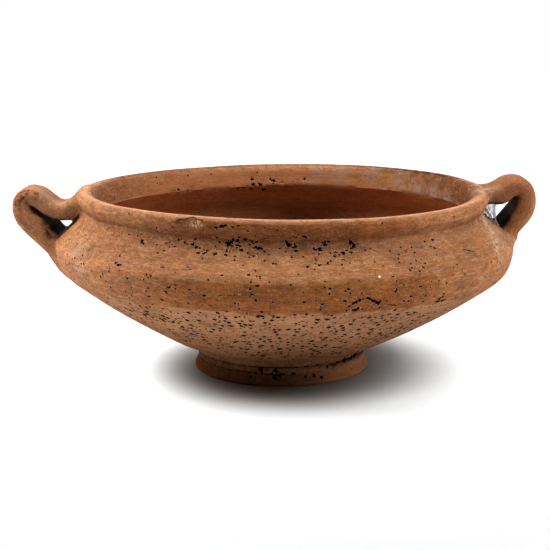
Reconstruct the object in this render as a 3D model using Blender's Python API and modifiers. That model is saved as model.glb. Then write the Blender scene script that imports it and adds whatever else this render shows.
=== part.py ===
"""Two-handled biconical bowl: earthenware, thrown on a wheel, with a ring foot and two strap handles.

Metres, +Z up, the handles along X. The origin is on the ground under the middle of the overall
width. The wheel's axis stands a little to the right of it, because the left handle droops and
reaches further out than the right one. The whole bowl is one piece of fired clay, one solid.
"""

import math

import bmesh
import bpy
import numpy as np

MM = 0.001

# Thrown body in millimetres, as (radius from the wheel's axis, height), down the outer side.
LIP = ((113.6, 103.8), (116.7, 102.6), (117.6, 100.3), (116.4, 97.0))
NECK = ((113.2, 93.5), (114.7, 90.9))
SHOULDER = ((121.6, 84.4), (128.2, 78.6), (130.3, 75.8))
BELLY = ((130.7, 71.8), (129.2, 66.0), (127.2, 61.8), (123.6, 57.2))
LOWER_WALL = ((118.6, 53.2), (108.0, 45.6), (86.4, 32.0), (63.2, 19.2), (49.8, 12.6))
FOOT = ((48.8, 10.4), (48.3, 6.8), (50.4, 1.8), (50.3, 0.6), (49.5, 0.0), (41.0, 0.0))
UNDERSIDE = ((39.6, 0.8), (38.2, 4.8), (33.5, 6.8), (0.0, 8.0))
FLOOR = ((0.0, 14.6), (22.0, 14.8), (42.0, 17.6))
INNER_LIP = ((107.0, 97.0), (108.4, 101.2), (110.6, 103.3))
WALL = 6.6
TURN_STEPS = 72
SPAN_STEPS = 2
WELD = 0.01
SHARPEST_SMOOTH = 40

# Slips of the potter's hand: the foot is luted on off the centre, the body leans, and the rim waves.
AXIS_X = 3.6
FOOT_SHIFT = 0.8
BELLY_LEAN = 2.6
RIM_LEAN = 1.6
RIM_WAVE = 0.7

# Strap handles in millimetres: stations as (x, height, width, thickness), from the lip, out over the
# loop and down to the belly. The straps lie in the plane of X and Z, and thicken where they are luted.
STRAP_ROUNDING = 3.2
CORNER_STEPS = 3
LEFT_STRAP = (
    (-106.5, 98.8, 31.0, 8.8),
    (-113.0, 95.4, 31.0, 9.2),
    (-120.8, 90.5, 31.0, 9.4),
    (-128.6, 94.3, 30.0, 9.4),
    (-135.0, 98.6, 30.0, 9.6),
    (-141.4, 99.0, 31.0, 10.4),
    (-142.8, 94.2, 32.0, 11.8),
    (-140.4, 88.8, 33.0, 13.0),
    (-135.8, 84.4, 34.0, 13.6),
    (-130.6, 79.4, 35.0, 13.4),
    (-125.6, 73.7, 36.0, 12.2),
    (-122.6, 67.0, 37.0, 8.8),
    (-119.0, 61.5, 38.0, 7.2),
    (-115.4, 57.6, 38.0, 6.8),
)
RIGHT_STRAP = (
    (116.4, 99.2, 29.0, 7.4),
    (121.0, 100.3, 30.0, 7.6),
    (129.0, 101.5, 30.0, 10.4),
    (135.4, 105.6, 30.0, 10.2),
    (141.4, 105.4, 30.0, 10.8),
    (143.4, 99.4, 30.0, 10.8),
    (142.2, 92.4, 30.0, 11.0),
    (138.8, 86.4, 31.0, 11.0),
    (135.0, 80.6, 33.0, 10.6),
    (133.6, 75.0, 35.0, 7.2),
    (133.2, 70.6, 35.0, 6.8),
)

CLAY_COLOUR = (0.36, 0.165, 0.078, 1.0)
CLAY_ROUGHNESS = 0.85


def smooth(points, steps):
    """A smooth curve through the points: cubic spans whose tangents go by the chords."""
    knots = np.asarray(points, float)
    along = np.concatenate([[0.0], np.cumsum(np.linalg.norm(np.diff(knots[:, :2], axis=0), axis=1))])
    slopes = np.gradient(knots, along, axis=0)
    found = []
    for i, span in enumerate(np.diff(along)):
        for s in np.linspace(0, 1, steps, endpoint=False):
            start = (1 + 2 * s) * (1 - s) ** 2 * knots[i] + s * (1 - s) ** 2 * span * slopes[i]
            end = s * s * (3 - 2 * s) * knots[i + 1] - s * s * (1 - s) * span * slopes[i + 1]
            found.append(start + end)
    return np.array(found + [knots[-1]])


def inner_wall():
    """The wall's inner side, a wall's thickness inside the outer one, from the floor up to the neck."""
    outer = np.array(NECK + SHOULDER + BELLY + LOWER_WALL[:-1])
    run = np.gradient(outer, axis=0)
    outward = np.stack([-run[:, 1], run[:, 0]], axis=1)
    outward /= np.linalg.norm(outward, axis=1, keepdims=True)
    return (outer - WALL * outward)[::-1]


def body_profile():
    """The turned section: from the floor's centre, up inside, over the lip and down to the underside."""
    bend = smooth(LIP + NECK + SHOULDER + BELLY, SPAN_STEPS)
    return np.vstack([FLOOR, inner_wall(), INNER_LIP, bend, LOWER_WALL, FOOT, UNDERSIDE]) * MM


def eased(share):
    share = min(max(share, 0.0), 1.0)
    return share * share * (3 - 2 * share)


def lean(height):
    """How far a level of the bowl stands to the right of the wheel's axis, in metres."""
    joint, belly, rim = FOOT[0][1] * MM, BELLY[-1][1] * MM, LIP[0][1] * MM
    if height < joint + WELD * MM:
        return FOOT_SHIFT * MM
    back = (BELLY_LEAN - RIM_LEAN) * eased((height - belly) / (rim - belly))
    return (BELLY_LEAN * eased((height - joint) / (belly - joint)) - back) * MM


def rim_wave(x, y, height):
    """How far the rim stands above its mean height, in metres. The wave dies out at the foot."""
    joint, rim = FOOT[0][1] * MM, LIP[0][1] * MM
    share = min(max((height - joint) / (rim - joint), 0.0), 1.0)
    return RIM_WAVE * MM * share * math.sin(2 * math.atan2(y, x))


def new_object(name, data, collection):
    thing = bpy.data.objects.new(name, data)
    collection.objects.link(thing)
    return thing


def turned_body(collection):
    profile = body_profile()
    mesh = bpy.data.meshes.new("bowl_profile")
    corners = [(radius, 0.0, height) for radius, height in profile]
    mesh.from_pydata(corners, [(i, i + 1) for i in range(len(corners) - 1)], [])
    outline = new_object("bowl_profile", mesh, collection)
    screw = outline.modifiers.new("wheel", "SCREW")
    screw.steps = screw.render_steps = TURN_STEPS
    screw.use_merge_vertices = True
    screw.merge_threshold = WELD * MM
    bpy.context.view_layer.update()
    turned = outline.evaluated_get(bpy.context.evaluated_depsgraph_get())
    body = new_object("bowl", bpy.data.meshes.new_from_object(turned), collection)
    bpy.data.objects.remove(outline)
    for vertex in body.data.vertices:
        x, y, height = vertex.co
        vertex.co = (x + AXIS_X * MM + lean(height), y, height + rim_wave(x, y, height))
    return body


def strap_section(width, thickness):
    """A flat rectangle with rounded corners, as (across the strap, through it), anticlockwise."""
    across, through = width / 2 - STRAP_ROUNDING, thickness / 2 - STRAP_ROUNDING
    corners = ((across, through), (-across, through), (-across, -through), (across, -through))
    outline = []
    for quarter, (wide, thin) in enumerate(corners):
        for step in range(CORNER_STEPS + 1):
            angle = math.pi / 2 * (quarter + step / CORNER_STEPS)
            outline.append((wide + STRAP_ROUNDING * math.cos(angle), thin + STRAP_ROUNDING * math.sin(angle)))
    return outline


def strap(name, stations, collection):
    """One handle, pulled as a flat strap, bent over its loop and squeezed at its ends: a loft of sections."""
    course = smooth(stations, SPAN_STEPS)
    along = np.gradient(course[:, :2], axis=0)
    along /= np.linalg.norm(along, axis=1, keepdims=True)
    loft = bmesh.new()
    rings = []
    for (x, height, width, thickness), (forth, up) in zip(course, along):
        ring = []
        for wide, thin in strap_section(width, thickness):
            ring.append(loft.verts.new(((x - thin * up) * MM, wide * MM, (height + thin * forth) * MM)))
        rings.append(ring)
    for ring, following in zip(rings, rings[1:]):
        for i, corner in enumerate(ring):
            loft.faces.new((ring[i - 1], corner, following[i], following[i - 1]))
    loft.faces.new(rings[0])
    loft.faces.new(rings[-1][::-1])
    bmesh.ops.recalc_face_normals(loft, faces=loft.faces)
    mesh = bpy.data.meshes.new(name)
    loft.to_mesh(mesh)
    loft.free()
    return new_object(name, mesh, collection)


def fired_clay():
    clay = bpy.data.materials.new("earthenware")
    clay.use_nodes = True
    shader = clay.node_tree.nodes["Principled BSDF"]
    shader.inputs["Base Color"].default_value = CLAY_COLOUR
    shader.inputs["Roughness"].default_value = CLAY_ROUGHNESS
    shader.inputs["Metallic"].default_value = 0.0
    return clay


def join(body, piece):
    union = body.modifiers.new("luted_" + piece.name, "BOOLEAN")
    union.operation = "UNION"
    union.solver = "EXACT"
    union.object = piece
    piece.hide_render = True
    piece.display_type = "WIRE"


for thing in list(bpy.data.objects):
    bpy.data.objects.remove(thing)
parts = bpy.data.collections.new("biconical_bowl")
helpers = bpy.data.collections.new("cutters")
for group in (parts, helpers):
    bpy.context.scene.collection.children.link(group)

bowl = turned_body(parts)
for name, stations in (("left_strap", LEFT_STRAP), ("right_strap", RIGHT_STRAP)):
    join(bowl, strap(name, stations, helpers))
bowl.data.materials.append(fired_clay())
bowl.data.shade_smooth()
bowl.data.set_sharp_from_angle(angle=math.radians(SHARPEST_SMOOTH))
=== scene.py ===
"""Looks of a two-handled biconical bowl of fired clay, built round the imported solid.

The order is the potter's: the body is thrown on the wheel, the two straps are pulled and luted on,
then comes what time and use did to the surface, then the clay's finish, and last the studio round it.
Sizes are in millimetres unless a name says otherwise, and +X points to the right handle.
"""

import math

import bmesh
import bpy
import numpy as np
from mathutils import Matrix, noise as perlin
from mathutils.kdtree import KDTree


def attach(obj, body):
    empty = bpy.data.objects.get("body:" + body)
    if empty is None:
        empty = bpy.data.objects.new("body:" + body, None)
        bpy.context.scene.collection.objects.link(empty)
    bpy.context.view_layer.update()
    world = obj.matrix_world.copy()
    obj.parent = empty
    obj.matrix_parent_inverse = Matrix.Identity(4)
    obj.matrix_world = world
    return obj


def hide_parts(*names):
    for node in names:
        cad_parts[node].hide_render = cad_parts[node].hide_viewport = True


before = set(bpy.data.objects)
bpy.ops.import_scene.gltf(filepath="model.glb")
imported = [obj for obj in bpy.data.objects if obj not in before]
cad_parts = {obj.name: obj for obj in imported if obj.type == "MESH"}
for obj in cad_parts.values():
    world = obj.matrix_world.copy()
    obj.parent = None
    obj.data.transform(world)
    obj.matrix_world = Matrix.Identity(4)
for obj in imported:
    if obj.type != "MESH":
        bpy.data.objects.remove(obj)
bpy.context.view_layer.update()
MM = 0.001

# --- The thrown body -----------------------------------------------------------------------------
# A bowl of coarse red-brown clay, thrown in one go: a double-coned wall, a waisted neck, a thickened
# rolled lip, and a low ring foot turned separately and stuck on a little off the centre. The wheel
# leaves it round, but its body leans and its rim waves, as the clay settled while it was soft.

# The section as (radius from the wheel's axis, height), down the outer side, then the inside.
LIP = ((110.6, 103.5), (113.6, 103.8), (116.3, 103.4), (117.4, 102.0), (117.0, 99.2), (115.5, 96.0))
NECK = ((113.5, 93.4), (114.7, 90.9))
SHOULDER = ((121.6, 84.4), (128.5, 78.1), (130.3, 76.0))
BELLY = ((130.9, 73.6), (130.6, 70.2), (129.6, 66.0), (127.7, 61.3), (124.6, 57.8))
LOWER_WALL = ((118.6, 53.2), (108.0, 45.6), (86.4, 32.0), (63.2, 19.2), (49.8, 12.6), (48.8, 10.4))
FOOT = ((48.8, 10.4), (48.3, 6.8), (50.4, 1.8))
FOOT_EDGE = ((50.3, 0.6), (49.5, 0.0), (45.2, 0.0), (41.0, 0.0), (39.6, 0.8), (38.2, 4.8))
UNDERSIDE = ((33.5, 6.8), (20.0, 7.6), (8.0, 8.0), (0.0, 8.0))
FLOOR = ((0.0, 14.6), (22.0, 14.8), (42.0, 17.6))
LEDGE = (106.2, 90.5)
INNER_LIP = ((106.5, 93.4), (107.1, 97.0), (107.8, 101.0), (108.8, 102.7))
WALL = 6.6
SECTION_STEPS = 12
INSIDE_SPACING, OUTSIDE_SPACING = 4.0, 1.9
TURN_STEPS = 430
WELD = 0.01

# Slips of the potter's hand: the foot is luted on off the centre, the body leans, and the rim waves.
AXIS_X = 3.6
FOOT_SHIFT = 0.8
BELLY_LEAN = 2.6
RIM_LEAN = 1.6
RIM_WAVE = 0.7
JOINT_HEIGHT = FOOT[0][1]
BELLY_HEIGHT = BELLY[-1][1]
RIM_HEIGHT = LIP[1][1]


def smooth(points, steps):
    """A smooth curve through the points: cubic spans whose tangents go by the chords."""
    knots = np.asarray(points, float)
    along = np.concatenate([[0.0], np.cumsum(np.linalg.norm(np.diff(knots[:, :2], axis=0), axis=1))])
    slopes = np.gradient(knots, along, axis=0)
    found = []
    for i, span in enumerate(np.diff(along)):
        for s in np.linspace(0, 1, steps, endpoint=False):
            start = (1 + 2 * s) * (1 - s) ** 2 * knots[i] + s * (1 - s) ** 2 * span * slopes[i]
            end = s * s * (3 - 2 * s) * knots[i + 1] - s * s * (1 - s) * span * slopes[i + 1]
            found.append(start + end)
    return np.array(found + [knots[-1]])


def run_of(line):
    """How far along the line each of its points is."""
    return np.concatenate([[0.0], np.cumsum(np.linalg.norm(np.diff(line[:, :2], axis=0), axis=1))])


def spaced(line, spacing):
    """The same line with its points about this far apart."""
    run = run_of(line)
    wanted = np.linspace(0, run[-1], max(2, round(run[-1] / spacing) + 1))
    return np.stack([np.interp(wanted, run, line[:, i]) for i in range(line.shape[1])], axis=1)


def thrown_section():
    """The section as one line, from the floor's centre, over the lip, to the underside's centre."""
    outer = np.array(SHOULDER + BELLY + LOWER_WALL[:-2])
    run = np.gradient(outer, axis=0)
    outward = np.stack([-run[:, 1], run[:, 0]], axis=1)
    outward /= np.linalg.norm(outward, axis=1, keepdims=True)
    inside = smooth(np.vstack([FLOOR, (outer - WALL * outward)[::-1], LEDGE]), SECTION_STEPS)
    rim = smooth((LEDGE,) + INNER_LIP + LIP + NECK + SHOULDER + BELLY + LOWER_WALL, SECTION_STEPS)
    foot = smooth(FOOT, SECTION_STEPS)
    return np.vstack([spaced(inside, INSIDE_SPACING), spaced(rim, OUTSIDE_SPACING)[1:],
                      spaced(foot, OUTSIDE_SPACING)[1:], FOOT_EDGE, UNDERSIDE])


def add_node(tree, kind, settings, links):
    """A new node of the tree. Its links are values or other nodes' sockets, by the input's name or number."""
    made = tree.nodes.new(kind)
    for name, value in settings.items():
        setattr(made, name, value)
    for name, value in links.items():
        if isinstance(value, bpy.types.NodeSocket):
            tree.links.new(value, made.inputs[name])
        else:
            made.inputs[name].default_value = value
    return made


def math_node(tree, operation, *values):
    return add_node(tree, "ShaderNodeMath", {"operation": operation}, dict(enumerate(values))).outputs[0]


def linear(hex_colour):
    """An sRGB hex colour as linear RGBA."""
    channels = [int(hex_colour[i : i + 2], 16) / 255 for i in (1, 3, 5)]
    return (*[c / 12.92 if c <= 0.04045 else ((c + 0.055) / 1.055) ** 2.4 for c in channels], 1.0)


def new_object(name, mesh):
    thing = bpy.data.objects.new(name, mesh)
    bpy.context.scene.collection.objects.link(thing)
    return thing


def as_mesh(thing):
    """The evaluated mesh of an object, which is then deleted."""
    bpy.context.view_layer.update()
    mesh = bpy.data.meshes.new_from_object(thing.evaluated_get(bpy.context.evaluated_depsgraph_get()))
    bpy.data.objects.remove(thing)
    return mesh


WHEEL_LENGTHS = {
    "Axis": AXIS_X,
    "Foot shift": FOOT_SHIFT,
    "Belly lean": BELLY_LEAN,
    "Rim lean": RIM_LEAN,
    "Rim wave": RIM_WAVE,
    "Joint height": JOINT_HEIGHT,
    "Belly height": BELLY_HEIGHT,
    "Rim height": RIM_HEIGHT,
    "Weld": WELD,
}
clay = bpy.data.materials.new("coarse_red_earthenware")
WHEEL_INPUTS = {
    "Turn steps": ("NodeSocketInt", TURN_STEPS),
    **{label: ("NodeSocketFloat", length * MM) for label, length in WHEEL_LENGTHS.items()},
    "Clay": ("NodeSocketMaterial", clay),
}


def potters_wheel():
    """A tree that turns a section, a line in the plane of X and Z, into the closed body of a bowl."""
    tree = bpy.data.node_groups.new("potters_wheel", "GeometryNodeTree")
    tree.interface.new_socket("Geometry", in_out="INPUT", socket_type="NodeSocketGeometry")
    tree.interface.new_socket("Geometry", in_out="OUTPUT", socket_type="NodeSocketGeometry")
    for label, (kind, _) in WHEEL_INPUTS.items():
        tree.interface.new_socket(label, in_out="INPUT", socket_type=kind)
    given = tree.nodes.new("NodeGroupInput").outputs

    def reckon(operation, *values):
        return math_node(tree, operation, *values)

    size = add_node(tree, "GeometryNodeAttributeDomainSize", {}, {0: given["Geometry"]})
    rows = size.outputs["Point Count"]
    columns = reckon("ADD", given["Turn steps"], 1)
    grid = add_node(tree, "GeometryNodeMeshGrid", {}, {"Vertices X": columns, "Vertices Y": rows})
    index = add_node(tree, "GeometryNodeInputIndex", {}, {}).outputs[0]
    row = reckon("MODULO", index, rows)
    column = reckon("FLOOR", reckon("DIVIDE", index, rows))
    place = add_node(tree, "GeometryNodeInputPosition", {}, {}).outputs[0]
    sample = add_node(tree, "GeometryNodeSampleIndex", {"data_type": "FLOAT_VECTOR"},
                      {"Geometry": given["Geometry"], "Value": place, "Index": row})
    radius, _, height = add_node(tree, "ShaderNodeSeparateXYZ", {}, {0: sample.outputs[0]}).outputs

    def grown(low, high, most, curve="SMOOTHSTEP"):
        """Nothing up to the low level, then more and more until the high one."""
        levels = {"Value": height, "From Min": given[low], "From Max": given[high], "To Max": most}
        return add_node(tree, "ShaderNodeMapRange", {"interpolation_type": curve}, levels).outputs[0]

    turn = reckon("DIVIDE", reckon("MULTIPLY", column, math.tau), given["Turn steps"])
    forth = grown("Joint height", "Belly height", given["Belly lean"])
    too_far = reckon("SUBTRACT", given["Belly lean"], given["Rim lean"])
    back = grown("Belly height", "Rim height", too_far)
    on_foot = reckon("LESS_THAN", reckon("SUBTRACT", height, given["Weld"]), given["Joint height"])
    shift = reckon("MULTIPLY", on_foot, given["Foot shift"])
    centre = reckon("ADD", reckon("ADD", reckon("SUBTRACT", forth, back), shift), given["Axis"])
    x = reckon("MULTIPLY_ADD", reckon("COSINE", turn), radius, centre)
    y = reckon("MULTIPLY", reckon("SINE", turn), radius)
    swing = grown("Joint height", "Rim height", given["Rim wave"], "LINEAR")
    z = reckon("MULTIPLY_ADD", reckon("SINE", reckon("MULTIPLY", turn, 2.0)), swing, height)
    target = add_node(tree, "ShaderNodeCombineXYZ", {}, {0: x, 1: y, 2: z}).outputs[0]
    thrown = add_node(tree, "GeometryNodeSetPosition", {}, {"Geometry": grid.outputs[0], "Position": target})
    closed = add_node(tree, "GeometryNodeMergeByDistance", {},
                      {"Geometry": thrown.outputs[0], "Distance": given["Weld"]})
    whole = add_node(tree, "GeometryNodeRealizeInstances", {}, {"Geometry": closed.outputs[0]})
    of_clay = add_node(tree, "GeometryNodeSetMaterial", {},
                       {"Geometry": whole.outputs[0], "Material": given["Clay"]})
    tree.links.new(of_clay.outputs[0], tree.nodes.new("NodeGroupOutput").inputs[0])
    return tree


def outward(mesh):
    """Turns the faces of a closed mesh outwards."""
    shell = bmesh.new()
    shell.from_mesh(mesh)
    bmesh.ops.recalc_face_normals(shell, faces=shell.faces)
    shell.to_mesh(mesh)
    shell.free()
    return mesh


section = thrown_section()
section_line = bpy.data.meshes.new("section")
ends = [(i, i + 1) for i in range(len(section) - 1)]
section_line.from_pydata([(r * MM, 0.0, z * MM) for r, z in section], ends, [])
blank = new_object("thrown_body", section_line)
wheel = blank.modifiers.new("wheel", "NODES")
wheel.node_group = potters_wheel()
for item in wheel.node_group.interface.items_tree:
    if item.in_out == "INPUT" and item.name in WHEEL_INPUTS:
        wheel[item.identifier] = WHEEL_INPUTS[item.name][1]
thrown_body = outward(as_mesh(blank))

# --- The two strap handles -----------------------------------------------------------------------
# Each is one strap pulled from a lump of the same clay, bent into a loop and pressed on at the lip and
# at the belly. The left one sank while it was wet, so its loop is nearly shut; the right one stands
# up above the rim.

# Stations as (x, height, width, thickness), from the lip, out over the loop and down to the belly.
LEFT_STRAP = (
    (-106.5, 98.8, 31.0, 8.8),
    (-112.5, 95.3, 31.0, 9.2),
    (-117.0, 92.3, 31.0, 9.2),
    (-121.4, 91.3, 31.0, 9.0),
    (-125.6, 92.4, 30.0, 8.8),
    (-129.8, 95.4, 30.0, 8.6),
    (-135.2, 99.2, 30.0, 8.6),
    (-142.0, 99.3, 31.0, 9.4),
    (-143.2, 94.0, 32.0, 10.0),
    (-141.0, 88.4, 33.0, 11.6),
    (-136.2, 84.0, 34.0, 12.6),
    (-130.8, 79.3, 35.0, 12.8),
    (-125.6, 73.7, 36.0, 12.0),
    (-122.2, 67.2, 37.0, 8.8),
    (-118.2, 62.0, 38.0, 7.2),
    (-114.4, 58.2, 38.0, 6.8),
)
RIGHT_STRAP = (
    (116.4, 99.2, 29.0, 7.4),
    (121.0, 100.3, 30.0, 7.6),
    (129.0, 101.5, 30.0, 10.4),
    (135.4, 105.4, 30.0, 9.8),
    (141.4, 105.0, 30.0, 10.4),
    (143.4, 99.4, 30.0, 10.8),
    (142.2, 92.4, 30.0, 11.0),
    (138.0, 86.6, 31.0, 10.8),
    (133.2, 80.6, 33.0, 9.8),
    (130.8, 75.4, 35.0, 6.2),
    (128.8, 72.8, 35.0, 6.0),
)
STRAP_ROUNDING, THIN_ROUNDING = 4.6, 0.46
CORNER_STEPS = 4
STRAP_SPACING = 1.5


def rounding(thickness):
    """The radius of a strap's rounded edges, which is less where the strap is thin."""
    return np.minimum(STRAP_ROUNDING, THIN_ROUNDING * thickness)


def strap_ring(width, thickness):
    """A flat rectangle with rounded corners, as evenly spaced (across the strap, through it)."""
    edge = rounding(thickness)
    across, through = width / 2 - edge, thickness / 2 - edge
    corners = ((across, through), (-across, through), (-across, -through), (across, -through))
    outline = []
    for quarter, (wide, thin) in enumerate(corners):
        for step in range(CORNER_STEPS + 1):
            angle = math.pi / 2 * (quarter + step / CORNER_STEPS)
            outline.append((wide + edge * math.cos(angle), thin + edge * math.sin(angle)))
    outline.append(outline[0])
    return spaced(np.array(outline), STRAP_SPACING)[:-1]


def strap_mesh(course):
    """A closed loft of sections along the strap's course."""
    along = np.gradient(course[:, :2], axis=0)
    along /= np.linalg.norm(along, axis=1, keepdims=True)
    steps = len(strap_ring(*course[:, 2:].max(axis=0)))
    loft = bmesh.new()
    rings = []
    for (x, height, width, thickness), (forth, up) in zip(course, along):
        ring = strap_ring(width, thickness)
        ring = np.vstack([ring, ring[:1]])
        ring = spaced(ring, run_of(ring)[-1] / steps)[:-1]
        corners = [(x - face * up, side, height + face * forth) for side, face in ring]
        rings.append([loft.verts.new([value * MM for value in corner]) for corner in corners])
    for ring, following in zip(rings, rings[1:]):
        for i, corner in enumerate(ring):
            loft.faces.new((ring[i - 1], corner, following[i], following[i - 1]))
    for cap in (rings[0], rings[-1]):
        loft.faces.new(cap)
    mesh = bpy.data.meshes.new("strap")
    loft.to_mesh(mesh)
    loft.free()
    return outward(mesh)


straps = [spaced(smooth(stations, SECTION_STEPS), STRAP_SPACING) for stations in (LEFT_STRAP, RIGHT_STRAP)]

# --- Luting ---------------------------------------------------------------------------------------
# The straps were pressed on wet and smoothed over with a finger, so each joint runs out in a fillet,
# tight under the lip and broad where the root spreads on the belly, and the bowl is one skin of clay.

# How broad the fillets are, as (height, fillet) for the left strap and the right one.
FILLETS = (
    ((66, 7.0), (76, 2.0), (82, 2.4), (87, 5.5), (92, 8.0), (97, 4.4)),
    ((68, 1.5), (72, 3.5), (77, 10.0), (82, 6.0), (88, 2.4), (97, 2.6)),
)
# How far to each side of its middle a strap can lie, and how near to both skins a joint's points are.
STRAP_ZONE = 40
JOINT_REACH = 9.0
JOINT_SPACING = 1.5
TOO_SHORT, TOO_LONG = 0.45 * JOINT_SPACING, 1.5 * JOINT_SPACING
EVENING_ROUNDS, SETTLING_ROUNDS, SNAP_ROUNDS = 2, 6, 2
POINTS_AT_ONCE = 8000

joined = new_object("joined", thrown_body)
pressed = [new_object("pressed", strap_mesh(course)) for course in straps]
for piece in pressed:
    union = joined.modifiers.new("pressed_on", "BOOLEAN")
    union.operation = "UNION"
    union.solver = "MANIFOLD"
    union.object = piece
clay_skin = as_mesh(joined)
for piece in pressed:
    bpy.data.objects.remove(piece)


def eased(share):
    share = np.clip(share, 0.0, 1.0)
    return share * share * (3 - 2 * share)


def centre_x(height):
    """Where the wheel's axis passes at this height, as the body leans."""
    forth = BELLY_LEAN * eased((height - JOINT_HEIGHT) / (BELLY_HEIGHT - JOINT_HEIGHT))
    back = (BELLY_LEAN - RIM_LEAN) * eased((height - BELLY_HEIGHT) / (RIM_HEIGHT - BELLY_HEIGHT))
    return AXIS_X + forth - back + FOOT_SHIFT * (height <= JOINT_HEIGHT + WELD)


def rise(height, turn):
    """How far the waving rim lifts a level of the wall."""
    return RIM_WAVE * np.clip((height - JOINT_HEIGHT) / (RIM_HEIGHT - JOINT_HEIGHT), 0, 1) * np.sin(2 * turn)


def nearest_on_line(points, line):
    """The nearest place on a line to each point of a plane, and how far along the line's knots it is."""
    start, run = line[:-1], np.diff(line, axis=0)
    length = (run**2).sum(1)
    places, knots = [], []
    for first in range(0, len(points), POINTS_AT_ONCE):
        some = points[first : first + POINTS_AT_ONCE]
        off = some[:, None] - start
        share = np.clip((off * run).sum(2) / length, 0, 1)
        gap = ((off - share[..., None] * run) ** 2).sum(2)
        best = gap.argmin(1)
        share = share[np.arange(len(some)), best]
        places.append(start[best] + share[:, None] * run[best])
        knots.append(best + share)
    return np.vstack(places), np.concatenate(knots)


def normals_at(line, knots):
    """The unit normals of a line, to the left of its run, at these knots."""
    run = np.gradient(line, axis=0)
    tangent = [np.interp(knots, np.arange(len(run)), run[:, i]) for i in (0, 1)]
    normal = np.stack([-tangent[1], tangent[0]], axis=1)
    return normal / np.linalg.norm(normal, axis=1, keepdims=True)


def from_body(points):
    """Each point's distance from the thrown body (negative in the clay), the way out, its knot and turn."""
    turn = np.arctan2(points[:, 1], points[:, 0] - centre_x(points[:, 2]))
    level = points[:, 2] - rise(points[:, 2], turn)
    flat = np.stack([np.hypot(points[:, 0] - centre_x(level), points[:, 1]), level], axis=1)
    place, knot = nearest_on_line(flat, section)
    normal = normals_at(section, knot)
    distance = ((flat - place) * normal).sum(1)
    way_out = np.stack([normal[:, 0] * np.cos(turn), normal[:, 0] * np.sin(turn), normal[:, 1]], axis=1)
    return distance, way_out, knot, turn


def from_strap(points, course):
    """Each point's distance from a strap (negative in the clay), the way out, and its knot on the course."""
    flat = points[:, [0, 2]]
    place, knot = nearest_on_line(flat, course[:, :2])
    width, thickness = (np.interp(knot, np.arange(len(course)), course[:, i]) for i in (2, 3))
    away = flat - place
    face = normals_at(course[:, :2], knot)
    through = (away * face).sum(1)
    gap = np.linalg.norm(away, axis=1)
    past_end = gap > np.abs(through) + 0.05
    face = np.where(past_end[:, None], away / np.maximum(gap, 1e-9)[:, None], face)
    through = np.where(past_end, gap, through)
    edge = rounding(thickness)
    wide = np.abs(points[:, 1]) - (width / 2 - edge)
    thin = np.abs(through) - (thickness / 2 - edge)
    outer = np.hypot(np.maximum(wide, 0), np.maximum(thin, 0))
    distance = outer + np.minimum(np.maximum(wide, thin), 0) - edge
    at_corner = outer > 1e-9
    sideways = np.where(at_corner, np.maximum(wide, 0) / np.maximum(outer, 1e-9), wide > thin)
    flatways = np.where(at_corner, np.maximum(thin, 0) / np.maximum(outer, 1e-9), wide <= thin)
    sideways, flatways = sideways * np.sign(points[:, 1]), flatways * np.sign(through)
    return distance, np.stack([flatways * face[:, 0], sideways, flatways * face[:, 1]], axis=1), knot


INNER_LIP_KNOT = np.abs(section - INNER_LIP[0]).sum(1).argmin()


def from_bowl(points):
    """Each point's distance from the luted bowl, the way out, and the share of it that is the body's."""
    distance, way_out, knot, _ = from_body(points)
    body_share = np.ones(len(points))
    for course, fillets in zip(straps, FILLETS):
        by_strap = np.abs(points[:, 0] - course[:, 0].mean()) < STRAP_ZONE
        near = np.flatnonzero(by_strap & (knot > INNER_LIP_KNOT))
        gap, out, _ = from_strap(points[near], course)
        fillet = np.interp(points[near, 2], *np.transpose(fillets))
        share = np.clip(0.5 + 0.5 * (gap - distance[near]) / fillet, 0, 1)
        filled = share * distance[near] + (1 - share) * gap - fillet * share * (1 - share)
        blend = share[:, None] * way_out[near] + (1 - share[:, None]) * out
        distance[near] = filled
        way_out[near] = blend / np.maximum(np.linalg.norm(blend, axis=1, keepdims=True), 1e-9)
        body_share[near] = share
    return distance, way_out, body_share


def points_of(shape):
    return np.array([v.co for v in shape.verts]) / MM


def joint_points(shape):
    """Which points lie where a strap meets the body."""
    points = points_of(shape)
    distance, _, _, _ = from_body(points)
    reach = np.minimum(*[np.abs(from_strap(points, course)[0]) for course in straps])
    return (np.abs(distance) < JOINT_REACH) & (reach < JOINT_REACH)


def even_out(shape):
    """Gives the joints an even mesh, as a Boolean leaves slivers there."""
    for _ in range(EVENING_ROUNDS):
        chosen = joint_points(shape)
        around = [face for face in shape.faces if any(chosen[v.index] for v in face.verts)]
        bmesh.ops.triangulate(shape, faces=around)
        shape.verts.index_update()
        chosen = joint_points(shape)
        crowded = [v for v in shape.verts if chosen[v.index]]
        bmesh.ops.remove_doubles(shape, verts=crowded, dist=TOO_SHORT * MM)
        shape.verts.index_update()
        chosen = joint_points(shape)
        long_edges = [e for e in shape.edges
                      if all(chosen[v.index] for v in e.verts) and e.calc_length() > TOO_LONG * MM]
        bmesh.ops.subdivide_edges(shape, edges=long_edges, cuts=1)
        bmesh.ops.triangulate(shape, faces=[face for face in shape.faces if len(face.verts) > 4])
        shape.verts.index_update()


def snapped(points):
    """The points brought onto the luted bowl's surface, with the way out and the body's share there."""
    for _ in range(SNAP_ROUNDS):
        distance, way_out, body_share = from_bowl(points)
        points = points - distance[:, None] * way_out
    return points, way_out, body_share


def settle(points, edges, moving):
    """Evens out the moving points and keeps them on the luted bowl's surface."""
    for _ in range(SETTLING_ROUNDS):
        total, count = np.zeros_like(points), np.zeros(len(points))
        for here, there in (edges.T, edges.T[::-1]):
            np.add.at(total, here, points[there])
            np.add.at(count, here, 1)
        points[moving] = 0.5 * points[moving] + 0.5 * (total / count[:, None])[moving]
        points[moving], _, _ = snapped(points[moving])
    return points


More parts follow.
